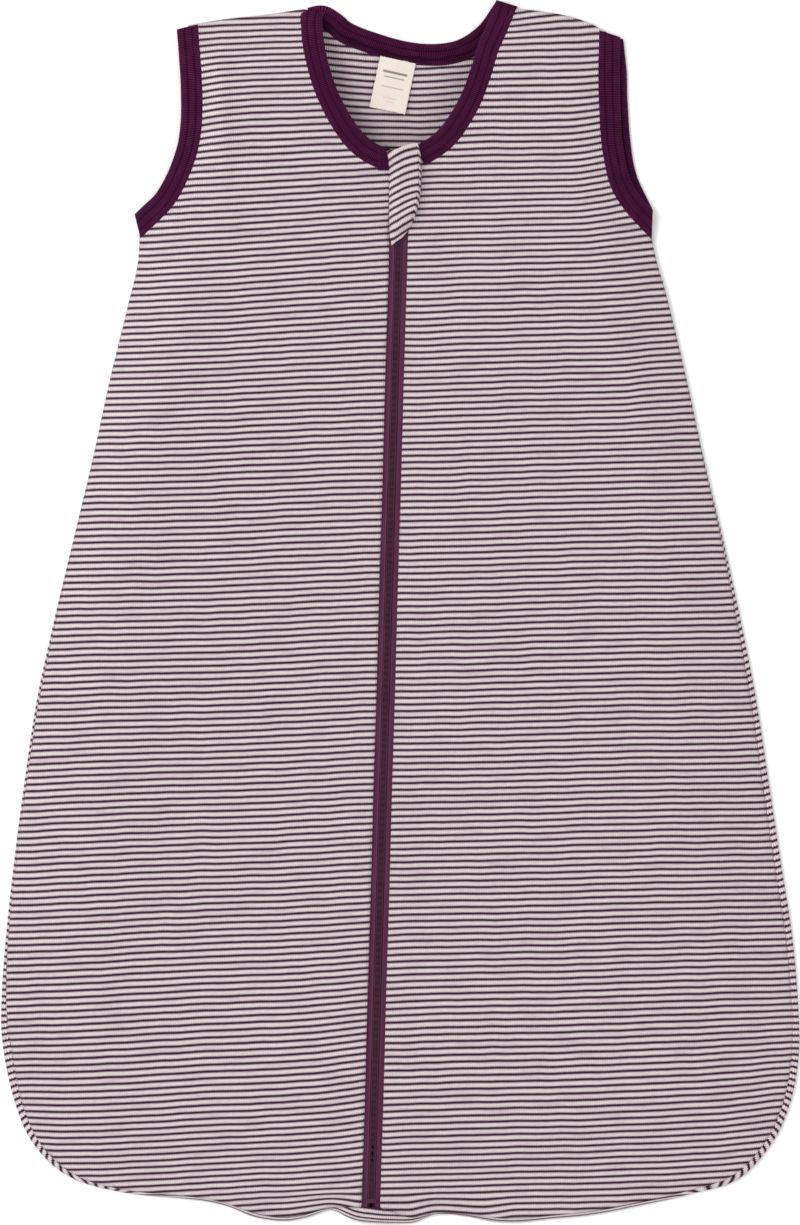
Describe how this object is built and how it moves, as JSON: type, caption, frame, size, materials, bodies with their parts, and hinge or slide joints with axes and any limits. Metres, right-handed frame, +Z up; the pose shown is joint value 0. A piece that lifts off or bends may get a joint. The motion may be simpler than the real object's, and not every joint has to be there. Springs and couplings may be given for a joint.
{
  "type": "baby sleeping bag",
  "caption": "Sleeveless baby sleeping bag in fine striped rib jersey, widening to the foot, with a full length front zip, chin guard and ribbed bindings.",
  "frame": {"origin": "middle of the bag's outline, on the surface it lies on", "axes": "+Y along the bag towards the neck, +X to the right as the front is looked at from above, +Z up out of the front"},
  "size_m": [0.458, 0.6971, 0.0233],
  "materials": {
    "jersey": "fine striped rib knit",
    "binding": "ribbed knit",
    "seam": "overlocked thread",
    "tape": "woven",
    "coil": "satin",
    "lacquer": "satin lacquer",
    "label": "woven satin"
  },
  "bodies": {
    "bag": {"back_panel": "jersey", "front_panel_left": "jersey", "front_panel_right": "jersey", "shoulder_seam_left": "seam", "shoulder_seam_right": "seam", "side_seam_left": "seam", "side_seam_right": "seam", "hem_seam": "seam", "neck_binding": "binding", "armhole_binding_left": "binding", "armhole_binding_right": "binding", "zip_tape_foot_left": "tape", "zip_tape_foot_right": "tape", "zip_coil_foot_left": "coil", "zip_coil_foot_right": "coil", "bottom_stop": "lacquer"},
    "lapel_left": {"front_lapel_left": "jersey", "neck_binding_lapel_left": "binding", "zip_tape_left": "tape", "zip_coil_left": "coil", "top_stop_left": "lacquer"},
    "lapel_right": {"front_lapel_right": "jersey", "neck_binding_lapel_right": "binding", "zip_tape_right": "tape", "zip_coil_right": "coil", "top_stop_right": "lacquer"},
    "slider": {"zip_slider": "lacquer", "slider_arch": "lacquer"},
    "tab": {"pull_tab": "lacquer"},
    "guard": {"chin_guard": "jersey"},
    "label": {"neck_label": "label"}
  },
  "joints": [
    {"name": "zip_slide", "type": "slide", "parent": "bag", "child": "slider", "axis": [-0.0273, -0.9995, -0.0149], "range_m": [0, 0.554]},
    {"name": "pull_tab_swing", "type": "hinge", "parent": "slider", "child": "tab", "pos_m": [-0.00052, 0.24295, 0.01947], "axis": [-0.9996, 0.0274, 0], "range_deg": [0, 160], "deforming": ["chin_guard"]},
    {"name": "lapel_left_open", "type": "hinge", "parent": "bag", "child": "lapel_left", "pos_m": [-0.01792, -0.30495, 0.00756], "axis": [0.038, -0.9991, -0.0175], "range_deg": [0, 140]},
    {"name": "lapel_right_open", "type": "hinge", "parent": "bag", "child": "lapel_right", "pos_m": [-0.01312, -0.30508, 0.00756], "axis": [0.0855, 0.9962, 0.0175], "range_deg": [0, 140]},
    {"name": "chin_guard_lift", "type": "hinge", "parent": "lapel_left", "child": "guard", "pos_m": [-0.00675, 0.24215, 0.01765], "axis": [-0.0273, -0.9995, -0.0149], "range_deg": [0, 100]},
    {"name": "label_flip", "type": "hinge", "parent": "bag", "child": "label", "pos_m": [-0.001, 0.3185, 0.00165], "axis": [-0.9781, 0.2079, 0], "range_deg": [0, 110]}
  ],
  "couplings": [
    {"joint": "lapel_left_open", "follows": "zip_slide", "rad_per_m": 4.3948},
    {"joint": "lapel_right_open", "follows": "zip_slide", "rad_per_m": 4.3948}
  ]
}
